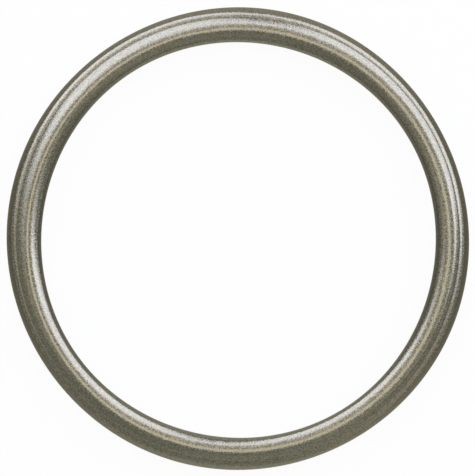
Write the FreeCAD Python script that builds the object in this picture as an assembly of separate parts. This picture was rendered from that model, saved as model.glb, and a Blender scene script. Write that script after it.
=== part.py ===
import FreeCAD, Part

import math
import os
from collections import namedtuple

# Exhaust pipe gasket: a crush ring, folded in one piece from a flat washer of sheet
# steel, and clamped between the flanges of two pipes.
# The sheet runs round the section as one strip. It starts inside the ring, under the
# crown's flank, comes out from under the seam as the lip, and goes over the outer
# shoulder, down to the flat seat, across it, up the bore wall and over the domed crown.
# The crown's straight flank then comes down on the lip and ends there in a cut edge. The
# ring is hollow, and that lap of two layers closes it.
# It lies on its seat at z = 0, with the pipe's axis as Z.

# Driving dimensions, in millimetres and degrees. A radius is that of the sheet's outer
# face, and a slope is counted from level.
bore_diameter = 77.0
ring_width = 6.4  # from the bore wall to the outer wall
ring_height = 5.0  # from the seat to the crest of the crown, before it is crushed
sheet_thickness = 0.3
crown_radius = 2.5  # dome, from the bore wall up to the crest
brow_radius = 2.0  # dome, from the crest down to the flank
flank_slope = 35.0  # straight flank, from the dome down to its cut edge
seam_diameter = 85.9  # upper corner of that cut edge
seam_gap = 0.05  # free space between the two layers under it
lip_slope = 13.0  # straight lip, under the seam and a little way out of it
tuck_length = 0.7  # how far the lip runs on inside, from the seam's gap
lip_radius = 1.6  # first bend out of the lip
lip_turn = 45.0  # slope at which the shoulder takes over from that bend
shoulder_radius = 3.3  # outer shoulder, down to the outer wall
corner_radius = 0.5  # both corners of the seat

# A bend's centre is a point of the plane through the pipe's axis. Its angles are counted
# from the outward direction, anticlockwise, in the order in which the strip runs.
Bend = namedtuple("Bend", "centre radius start end")
OUTWARD = 0.0
UP = 90.0
INWARD = 180.0
DOWN = 270.0

bore_radius = bore_diameter / 2
outer_radius = bore_radius + ring_width
crest_radius = bore_radius + crown_radius
coincident = 1e-6
lip_facing = UP - lip_slope
turn_facing = UP - lip_turn
flank_facing = UP - flank_slope


def point(radius, height):
    return FreeCAD.Vector(radius, 0.0, height)


def towards(angle):
    turn = math.radians(angle)
    return point(math.cos(turn), math.sin(turn))


def brow_bend():
    return Bend(point(crest_radius, ring_height - brow_radius), brow_radius, UP, flank_facing)


def cut_edge():
    """The upper corner of the crown's cut edge, at the end of the straight flank."""
    brow = brow_bend()
    flank_start = brow.centre + towards(flank_facing) * brow_radius
    down_flank = towards(flank_facing - UP)
    run = (seam_diameter / 2 - flank_start.x) / down_flank.x
    return flank_start + down_flank * run


def lip_under_seam():
    """The point of the lip that lies a gap below the lower corner of the cut edge."""
    lower_corner = cut_edge() - towards(flank_facing) * sheet_thickness
    return lower_corner - towards(lip_facing) * seam_gap


def rim_bends():
    """The lip's bend and the shoulder, which meet at the lip's turn. The shoulder's
    radius sets how far in they lie, and the lip's straight line how high."""
    shoulder = point(outer_radius - shoulder_radius, 0.0)
    lip = shoulder + towards(turn_facing) * (shoulder_radius - lip_radius)
    to_lip_line = (lip_under_seam() - lip).dot(towards(lip_facing)) - lip_radius
    rise = point(0.0, to_lip_line / towards(lip_facing).z)
    return [
        Bend(lip + rise, lip_radius, lip_facing, turn_facing),
        Bend(shoulder + rise, shoulder_radius, turn_facing, OUTWARD),
    ]


def strip_bends():
    """The sheet's bends, in order from the lip to the flank."""
    outer_corner = point(outer_radius - corner_radius, corner_radius)
    inner_corner = point(bore_radius + corner_radius, corner_radius)
    crown_centre = point(crest_radius, ring_height - crown_radius)
    return rim_bends() + [
        Bend(outer_corner, corner_radius, OUTWARD, -UP),
        Bend(inner_corner, corner_radius, DOWN, INWARD),
        Bend(crown_centre, crown_radius, INWARD, UP),
        brow_bend(),
    ]


def tucked_end():
    return lip_under_seam() + towards(lip_facing + UP) * tuck_length


def sheet_face(depth):
    """The corners and edges of the strip's face at this depth below its outer one: the
    tucked end, an arc for each bend with a straight stretch where two don't touch, and
    the cut edge."""
    first = tucked_end() - towards(lip_facing) * depth
    last = cut_edge() - towards(flank_facing) * depth
    edges = []
    reached = first
    for bend in strip_bends():
        angles = (bend.start, (bend.start + bend.end) / 2, bend.end)
        points = [bend.centre + towards(a) * (bend.radius - depth) for a in angles]
        if not reached.isEqual(points[0], coincident):
            edges.append(Part.makeLine(reached, points[0]))
        edges.append(Part.Arc(*points).toShape())
        reached = points[-1]
    edges.append(Part.makeLine(reached, last))
    return edges, first, last


def section():
    outer_edges, outer_first, outer_last = sheet_face(0.0)
    inner_edges, inner_first, inner_last = sheet_face(sheet_thickness)
    cuts = [Part.makeLine(outer_first, inner_first), Part.makeLine(outer_last, inner_last)]
    return Part.Face(Part.Wire(Part.__sortEdges__(outer_edges + inner_edges + cuts)))


def gasket_ring():
    return section().revolve(FreeCAD.Vector(), FreeCAD.Vector(0, 0, 1), 360)


parts = {"gasket_ring": gasket_ring()}
os.makedirs("parts", exist_ok=True)
for node, shape in parts.items():
    shape.exportStep(os.path.join("parts", node + ".step"))
    print(node, shape.ShapeType, shape.isValid(), round(shape.Volume, 2))
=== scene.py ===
from math import atan2, ceil, cos, degrees, hypot, pi, radians, sin, tan

import bmesh
import bpy
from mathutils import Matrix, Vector, noise


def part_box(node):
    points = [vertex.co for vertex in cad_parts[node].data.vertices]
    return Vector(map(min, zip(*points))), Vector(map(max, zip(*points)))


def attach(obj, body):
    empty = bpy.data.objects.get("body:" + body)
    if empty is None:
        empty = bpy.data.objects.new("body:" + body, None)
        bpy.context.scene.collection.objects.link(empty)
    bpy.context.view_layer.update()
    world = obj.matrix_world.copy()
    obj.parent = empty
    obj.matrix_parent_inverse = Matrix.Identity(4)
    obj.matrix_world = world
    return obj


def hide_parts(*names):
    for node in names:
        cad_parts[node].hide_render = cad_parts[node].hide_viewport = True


# Folded steel crush ring for an exhaust flange, lying on its seat on a pale floor and seen from
# straight above. Metres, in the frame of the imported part. Compass angles run clockwise from +Y,
# which is up in the picture. Slopes are counted from level.

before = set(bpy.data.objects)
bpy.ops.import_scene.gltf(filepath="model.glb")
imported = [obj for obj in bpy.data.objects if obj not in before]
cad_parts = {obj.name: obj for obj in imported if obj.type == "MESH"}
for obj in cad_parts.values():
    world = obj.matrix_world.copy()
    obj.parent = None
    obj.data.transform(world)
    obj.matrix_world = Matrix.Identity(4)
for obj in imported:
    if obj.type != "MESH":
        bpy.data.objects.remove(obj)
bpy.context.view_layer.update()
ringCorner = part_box("gasket_ring")[1]
print("frame in, ring box", [round(1000 * c, 2) for c in ringCorner])

scene = bpy.context.scene


# sheet strip, folded round the section
ring = {
    "outerRadius": ringCorner[0],
    "height": ringCorner[2],
    "width": 0.0064,  # bore wall to outer wall
    "sheet": 0.0003,
    "crestReach": 0.0025,  # bore wall to the crest
    "crownRadius": 0.0026,  # crest down to the crown's turn
    "crownTurn": 48,  # slope from which the crown is tighter, down to the bore wall
    "browRadius": 0.0025,  # crest down to the flank
    "flankSlope": (27, 43),  # from the brow down to the crown's cut edge, a little convex
    "seamRadius": 0.04295,  # that edge, on top of the lip
    "seamGap": 0.00005,
    "lipSlope": 13,  # straight lip, under the seam and a little way out of it
    "tuckLength": 0.0007,  # lip inside the ring, from the seam's gap
    "lipRadius": 0.0016,
    "lipTurn": 45,  # slope where the lip's bend gives way to the shoulder's
    "shoulderRadius": 0.0033,
    "cornerRadius": 0.0005,
    "cutRounding": 0.00003,  # burr rolled off the sheared edges
    "cutSteps": 3,
    "bendSteps": 20,  # for a quarter turn
    "insideSteps": 5,  # hidden face of the sheet
    "roundSteps": 480,
    "weld": 1e-7,
    "crownWander": 0.00005,  # the pressed crown isn't quite level
    "wanderScale": 60,  # per metre
    "wanderFoot": 0.3,  # share of the height from which it wanders
}

# How far the ring is from true: distance from the axis, then swells as count: (height, compass).
# A count of 0 is a plain offset, and it keeps the swells inside the box.
swells = [
    (0.0385, {0: (-0.00018, 0), 1: (0.00024, 151), 2: (0.00006, 169), 4: (0.0001, 58)}),
    (0.0392, {0: (-0.00015, 0), 1: (0.00006, 170)}),
    (0.0397, {0: (-0.00014, 0), 1: (0.0001, 190)}),
    (0.0411, {0: (-0.00007, 0), 1: (0.00024, 151)}),
    (0.0418, {0: (-0.00004, 0), 1: (0.00026, 132)}),
    (0.04295, {}),
    (0.0437, {0: (0.00005, 0), 2: (0.00024, 153), 3: (0.00008, 40)}),
    (0.0449, {0: (-0.00012, 0), 2: (0.0001, 139), 3: (0.00006, 4), 4: (0.00008, 15)}),
]


def facing(angle):
    return Vector((cos(radians(angle)), sin(radians(angle))))


def sectionStrip():
    # outer face of the strip: its tucked end, then centre, radius, first and last angle of every
    # bend up to its cut edge
    sheet, corner, top = ring["sheet"], ring["cornerRadius"], ring["height"]
    outer = ring["outerRadius"]
    bore = outer - ring["width"]
    crest = bore + ring["crestReach"]
    lipAngle, turnAngle = 90 - ring["lipSlope"], 90 - ring["lipTurn"]
    browAngle, cutAngle = (90 - slope for slope in ring["flankSlope"])

    # the tighter arc leaves the crown at its turn and stands upright at the bore wall
    turn = 90 + ring["crownTurn"]
    crown = Vector((crest, top - ring["crownRadius"]))
    across = -facing(turn).x
    tightRadius = (ring["crestReach"] - ring["crownRadius"] * across) / (1 - across)
    tight = crown + (ring["crownRadius"] - tightRadius) * facing(turn)

    # the flank is one wide arc, from the brow's slope to that of the cut edge
    brow = Vector((crest, top - ring["browRadius"]))
    flankTop = brow + ring["browRadius"] * facing(browAngle)
    flankRadius = (ring["seamRadius"] - flankTop.x) / (facing(cutAngle).x - facing(browAngle).x)
    flank = flankTop - flankRadius * facing(browAngle)
    cutEdge = flank + flankRadius * facing(cutAngle)

    # the lip's line passes a gap below the cut edge's lower corner
    underSeam = cutEdge - sheet * facing(cutAngle) - ring["seamGap"] * facing(lipAngle)
    tuckedEnd = underSeam + ring["tuckLength"] * facing(lipAngle + 90)
    shoulder = Vector((outer - ring["shoulderRadius"], 0))
    lip = shoulder + (ring["shoulderRadius"] - ring["lipRadius"]) * facing(turnAngle)
    rise = ((underSeam - lip).dot(facing(lipAngle)) - ring["lipRadius"]) / facing(lipAngle).y
    shoulder.y += rise
    lip.y += rise

    return tuckedEnd, [
        (lip, ring["lipRadius"], lipAngle, turnAngle),
        (shoulder, ring["shoulderRadius"], turnAngle, 0),
        (Vector((outer - corner, corner)), corner, 0, -90),
        (Vector((bore + corner, corner)), corner, 270, 180),
        (tight, tightRadius, 180, turn),
        (crown, ring["crownRadius"], turn, 90),
        (brow, ring["browRadius"], 90, browAngle),
        (flank, flankRadius, browAngle, cutAngle),
    ]


def sheetFace(depth, quarterSteps):
    tuckedEnd, bends = sectionStrip()
    points = [tuckedEnd - depth * facing(90 - ring["lipSlope"])]
    for centre, radius, first, last in bends:
        steps = ceil(quarterSteps * abs(last - first) / 90)
        for i in range(steps + 1):
            point = centre + (radius - depth) * facing(first + (last - first) * i / steps)
            if (point - points[-1]).length > ring["weld"]:
                points.append(point)
    return points


def buildRing():
    bm = bmesh.new()
    outside = sheetFace(0, ring["bendSteps"])
    inside = sheetFace(ring["sheet"], ring["insideSteps"])
    loop = [bm.verts.new((p.x, 0, p.y)) for p in outside + inside[::-1]]
    for vert, following in zip(loop, loop[1:] + loop[:1]):
        bm.edges.new((vert, following))
    cutCorners = [loop[0], loop[len(outside) - 1], loop[len(outside)], loop[-1]]
    bmesh.ops.bevel(
        bm, geom=cutCorners, affect='VERTICES', offset=ring["cutRounding"], offset_type='OFFSET',
        segments=ring["cutSteps"], profile=0.5, material=-1,
    )
    bmesh.ops.spin(
        bm, geom=bm.verts[:] + bm.edges[:], cent=(0, 0, 0), axis=(0, 0, 1), angle=2 * pi,
        steps=ring["roundSteps"], use_merge=True, use_duplicate=False,
    )
    bmesh.ops.remove_doubles(bm, verts=bm.verts, dist=ring["weld"])
    bmesh.ops.recalc_face_normals(bm, faces=bm.faces)
    band = bm.verts.layers.float.new("band")
    for vert in bm.verts:
        vert[band] = hypot(vert.co.x, vert.co.y) / ring["outerRadius"]  # for the bands of temper
        vert.co = outOfTrue(vert.co)
    return bm


def swell(table, compass):
    total = 0
    for count, (height, towards) in table.items():
        total += height * cos(radians(count * (compass - towards)))
    return total


def outOfTrue(co):
    radius, compass = hypot(co.x, co.y), degrees(atan2(co.x, co.y))
    reach = min(max(radius, swells[0][0]), swells[-1][0])
    spans = zip(swells, swells[1:])
    (near, nearTable), (far, farTable) = next(span for span in spans if reach <= span[1][0])
    share = (reach - near) / (far - near)
    shift = (1 - share) * swell(nearTable, compass) + share * swell(farTable, compass)
    scale = 1 + shift / radius
    wander = noise.noise(Vector((co.x, co.y, 0)) * ring["wanderScale"])
    dip = ring["crownWander"] * (0.5 + 0.5 * wander)
    dip *= max(0, co.z / ring["height"] - ring["wanderFoot"])
    return Vector((co.x * scale, co.y * scale, co.z - dip))


sharpAngle = 50  # a turn of more than this between faces stays a crisp edge


def makePiece(name, bm, material):
    mesh = bpy.data.meshes.new(name)
    bm.to_mesh(mesh)
    bm.free()
    mesh.materials.append(material)
    mesh.shade_smooth()
    mesh.set_sharp_from_angle(angle=radians(sharpAngle))
    piece = bpy.data.objects.new(name, mesh)
    scene.collection.objects.link(piece)
    return piece


# node helpers
noiseSpan = (0.3, 0.7)  # where most of a noise lies


def plug(tree, value, socket):
    if isinstance(value, bpy.types.NodeSocket):
        tree.links.new(value, socket)
    else:
        socket.default_value = value


def addNode(tree, kind, x, y, **settings):
    node = tree.nodes.new("ShaderNode" + kind)
    node.location = (x, y)
    for key, value in settings.items():
        setattr(node, key, value)
    return node


def addMath(tree, operation, x, y, *values, **settings):
    node = addNode(tree, "Math", x, y, operation=operation, **settings)
    for value, socket in zip(values, node.inputs):
        plug(tree, value, socket)
    return node.outputs[0]


def addNoise(tree, place, x, y, scale, detail):
    grain = addNode(tree, "TexNoise", x, y)
    grain.inputs["Scale"].default_value = scale
    grain.inputs["Detail"].default_value = detail
    tree.links.new(place, grain.inputs["Vector"])
    return grain.outputs["Fac"]


def addBump(tree, height, x, y, distance):
    node = addNode(tree, "Bump", x, y)
    node.inputs["Distance"].default_value = distance
    tree.links.new(height, node.inputs["Height"])
    return node


def remap(tree, value, x, y, span, result, curve='LINEAR'):
    node = addNode(tree, "MapRange", x, y, interpolation_type=curve)
    for setting, socket in zip((value, *span, *result), node.inputs):
        plug(tree, setting, socket)
    return node.outputs["Result"]


def mixColour(tree, x, y, factor, first, second, blend='MIX'):
    node = addNode(tree, "Mix", x, y, data_type='RGBA', blend_type=blend)
    plug(tree, factor, node.inputs["Factor"])
    plug(tree, first, node.inputs[6])
    plug(tree, second, node.inputs[7])
    return node.outputs[2]


satin = {
    "steel": (0.362, 0.35, 0.288, 1),  # crown and flank, a little olive
    "wall": (0.129, 0.12, 0.09, 1),  # painted shade: steep walls darker, so they stay dark where they mirror the pale floor
    "wallFacing": (0.67, 0.8),  # upward share of the facing over which one gives way to the other
    "edgeTint": (0.66, 0.64, 0.57, 1),  # no bright sheen at a glancing look
    "gritScale": 3000,  # per metre, sand of about a third of a millimetre
    "fineScale": 7500,
    "gritDepth": 0.000026,
    "fineDepth": 0.000013,
    "sand": (0.75, 1.2),  # tone of the darkest and the lightest grains
    "roughness": (0.18, 0.3),
    "wallRoughness": 0.32,
    "temper": ((1.06, 0.98, 0.9, 1), (0.955, 1.01, 1.05, 1)),  # faint brown and teal
    "bands": (  # share of teal, by the strip's distance from the axis
        (0.0385, 0.6), (0.0392, 0.6), (0.0398, 0.55), (0.0406, 0.3), (0.041, 0.45), (0.042, 0.5),
        (0.0429, 0.6), (0.0432, 0.35), (0.0437, 0.65), (0.0442, 0.4), (0.0446, 0.45),
        (0.0449, 0.4),
    ),
    "bandWander": 0.5,
    "wanderScale": 900,  # per metre
    "compassShade": (0.76, 1.65),  # painted shade and light: walls on the east and west of the ring darker, those on the north and south lighter
}


def bandShare(tree, place):
    # bands that follow the fold, with an uneven edge
    bands = [(radius / ring["outerRadius"], share) for radius, share in satin["bands"]]
    low, high = bands[0][0], bands[-1][0]
    strip = addNode(tree, "Attribute", -1500, 600, attribute_name="band")
    ramp = addNode(tree, "FloatCurve", -1200, 600)
    curve = ramp.mapping.curves[0]
    curve.points[0].location = (0, bands[0][1])
    curve.points[-1].location = (1, bands[-1][1])
    for radius, share in bands[1:-1]:
        curve.points.new((radius - low) / (high - low), share)
    ramp.mapping.update()
    spread = remap(tree, strip.outputs["Fac"], -1350, 600, (low, high), (0, 1))
    tree.links.new(spread, ramp.inputs["Value"])
    patches = addNoise(tree, place, -1200, 450, satin["wanderScale"], 2)
    uneven = remap(tree, patches, -950, 450, noiseSpan, (-0.5, 0.5), 'SMOOTHSTEP')
    return addMath(
        tree, 'MULTIPLY_ADD', -700, 500, uneven, satin["bandWander"], ramp.outputs["Value"],
        use_clamp=True,
    )


def wallTone(tree, place):
    # painted shade and light: the square of the share of Y in the direction from the axis sets
    # the walls' tone, darker to the east and west, lighter to the north and south
    outward = addNode(tree, "VectorMath", -1500, 900, operation='NORMALIZE')
    tree.links.new(place, outward.inputs[0])
    split = addNode(tree, "SeparateXYZ", -1300, 900)
    tree.links.new(outward.outputs[0], split.inputs[0])
    northSouthShare = addMath(tree, 'MULTIPLY', -1100, 900, split.outputs["Y"], split.outputs["Y"])
    compassShadeFactor = remap(tree, northSouthShare, -900, 900, (0, 1), satin["compassShade"])
    return mixColour(tree, -700, 900, 1, satin["wall"], compassShadeFactor, 'MULTIPLY')


def satinSteel():
    material = bpy.data.materials.new("satinSteel")
    material.use_nodes = True
    tree = material.node_tree
    shader = tree.nodes["Principled BSDF"]
    shader.inputs["Metallic"].default_value = 1
    shader.inputs["Specular Tint"].default_value = satin["edgeTint"]
    source = addNode(tree, "TexCoord", -1500, 0)
    place = source.outputs["Object"]
    grit = addNoise(tree, place, -1200, -200, satin["gritScale"], 2)
    fine = addNoise(tree, place, -1200, -450, satin["fineScale"], 1)

    split = addNode(tree, "SeparateXYZ", -1200, 300)
    tree.links.new(source.outputs["Normal"], split.inputs[0])
    upward = split.outputs["Z"]
    # painted shade: steep faces take the darker wall colour, the crown keeps the steel colour
    shadeAndRoughnessMix = remap(tree, upward, -950, 300, satin["wallFacing"], (0, 1), 'SMOOTHSTEP')
    tone = mixColour(tree, -650, 300, shadeAndRoughnessMix, wallTone(tree, place), satin["steel"])
    sand = remap(tree, grit, -950, 50, noiseSpan, satin["sand"], 'SMOOTHSTEP')
    shade = mixColour(tree, -350, 250, 1, tone, sand, 'MULTIPLY')
    stain = mixColour(tree, -350, 600, bandShare(tree, place), *satin["temper"])
    stained = mixColour(tree, -100, 250, 1, shade, stain, 'MULTIPLY')
    tree.links.new(stained, shader.inputs["Base Color"])

    rough = remap(tree, grit, -650, 0, noiseSpan, satin["roughness"], 'SMOOTHSTEP')
    dull = remap(tree, shadeAndRoughnessMix, -350, 0, (0, 1), (satin["wallRoughness"], rough))
    tree.links.new(dull, shader.inputs["Roughness"])

    coarse = addBump(tree, grit, -500, -250, satin["gritDepth"])
    small = addBump(tree, fine, -250, -300, satin["fineDepth"])
    tree.links.new(coarse.outputs["Normal"], small.inputs["Normal"])
    tree.links.new(small.outputs["Normal"], shader.inputs["Normal"])
    return material


gasket = makePiece("foldedRing", buildRing(), satinSteel())
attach(gasket, "root")
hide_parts("gasket_ring")
print("ring made,", sum(len(p.vertices) - 2 for p in gasket.data.polygons), "triangles")


# floor, a pale sheet washed out to near white
floorLook = {
    "size": 3.0,
    "drop": 0.00001,  # clear of the seat
    "paint": (0.92, 0.92, 0.92, 1),
    "roughness": 0.9,
    "wash": 0.95,
}


def paleFloor():
    bm = bmesh.new()
    bmesh.ops.create_grid(bm, x_segments=1, y_segments=1, size=floorLook["size"] / 2)
    bmesh.ops.translate(bm, verts=bm.verts, vec=(0, 0, -floorLook["drop"]))
    material = bpy.data.materials.new("paleFloor")
    material.use_nodes = True
    tree = material.node_tree
    paint = tree.nodes["Principled BSDF"]
    paint.inputs["Base Color"].default_value = floorLook["paint"]
    paint.inputs["Roughness"].default_value = floorLook["roughness"]
    paint.inputs["Specular IOR Level"].default_value = 0
    glow = addNode(tree, "Emission", 0, -300)
    path = addNode(tree, "LightPath", -800, 300)
    seen = path.outputs["Is Camera Ray"]
    for x, ray in ((-550, "Is Glossy Ray"), (-300, "Is Transmission Ray")):
        seen = addMath(tree, 'MAXIMUM', x, 300, seen, path.outputs[ray])
    share = addMath(tree, 'MULTIPLY', -50, 300, seen, floorLook["wash"])
    blend = addNode(tree, "MixShader", 250, 0)
    tree.links.new(share, blend.inputs["Fac"])
    tree.links.new(paint.outputs[0], blend.inputs[1])
    tree.links.new(glow.outputs[0], blend.inputs[2])
    tree.links.new(blend.outputs[0], tree.nodes["Material Output"].inputs["Surface"])
    makePiece("floor", bm, material)


paleFloor()
print("floor laid")


# light: two tall boxes low beside the ring, each with a fainter end, a small lamp overhead, and
# faint cards above, to the west and to the south that lift what the boxes leave dark
cool, warm = (0.95, 0.97, 1.2), (1.08, 0.91, 0.78)
studio = {
    "ambient": (0.3, 0.305, 0.265),
    "distance": 0.8,
    # middle as compass and zenith, width and height as seen from the ring, radiance, tint
    "boxes": {
        "overhead": ((0, 0), (17, 17), 1.7, (1, 0.97, 0.93)),
        "upper": ((0, 23), (60, 20), 0.42, warm),
        "left": ((-28, 54.5), (48, 41), 1.82, cool),
        "leftEnd": ((-65, 46), (20, 26), 1.0, cool),
        "west": ((-95, 33), (30, 22), 0.3, warm),
        "right": ((49, 59), (64, 50), 1.82, cool),
        "rightEnd": ((89, 49), (20, 29), 0.85, cool),
        "southEast": ((114, 33), (42, 22), 0.24, warm),
        "south": ((165, 60), (50, 44), 0.09, (1, 1, 0.95)),
    },
}


def softBox(name, middle, extent, radiance, tint):
    away = studio["distance"]
    compass, zenith = (radians(angle) for angle in middle)
    light = bpy.data.lights.new(name, 'AREA')
    light.shape = 'RECTANGLE'
    light.size, light.size_y = (2 * away * tan(radians(angle / 2)) for angle in extent)
    light.energy = radiance * pi * light.size * light.size_y
    light.color = tint
    holder = bpy.data.objects.new(name, light)
    holder.location = away * Vector(
        (sin(zenith) * sin(compass), sin(zenith) * cos(compass), cos(zenith)))
    holder.rotation_euler = (-holder.location).to_track_quat('-Z', 'Y').to_euler()
    holder.visible_camera = False
    scene.collection.objects.link(holder)


for name, box in studio["boxes"].items():
    softBox(name, *box)

room = bpy.data.worlds.new("room")
scene.world = room
room.use_nodes = True
room.node_tree.nodes["Background"].inputs["Color"].default_value = (*studio["ambient"], 1)
room.node_tree.nodes["Background"].inputs["Strength"].default_value = 1
print("studio lit")


# camera, straight above
camera = {
    "height": 2.0,
    "fieldWidth": 0.092,  # across 475 pixels, at the height of the rim
    "rimHeight": 0.0015,
    "aim": (-0.00008, 0.000175),  # picture centre
    "sensor": 36,
    "clipEnd": 10,
}
lens = bpy.data.cameras.new("camera")
lens.sensor_fit = 'HORIZONTAL'
lens.sensor_width = camera["sensor"]
lens.lens = camera["sensor"] * (camera["height"] - camera["rimHeight"]) / camera["fieldWidth"]
lens.clip_end = camera["clipEnd"]
eye = bpy.data.objects.new("camera", lens)
eye.location = (*camera["aim"], camera["height"])
scene.collection.objects.link(eye)
scene.camera = eye
scene.view_settings.view_transform = 'Standard'
print("camera set")
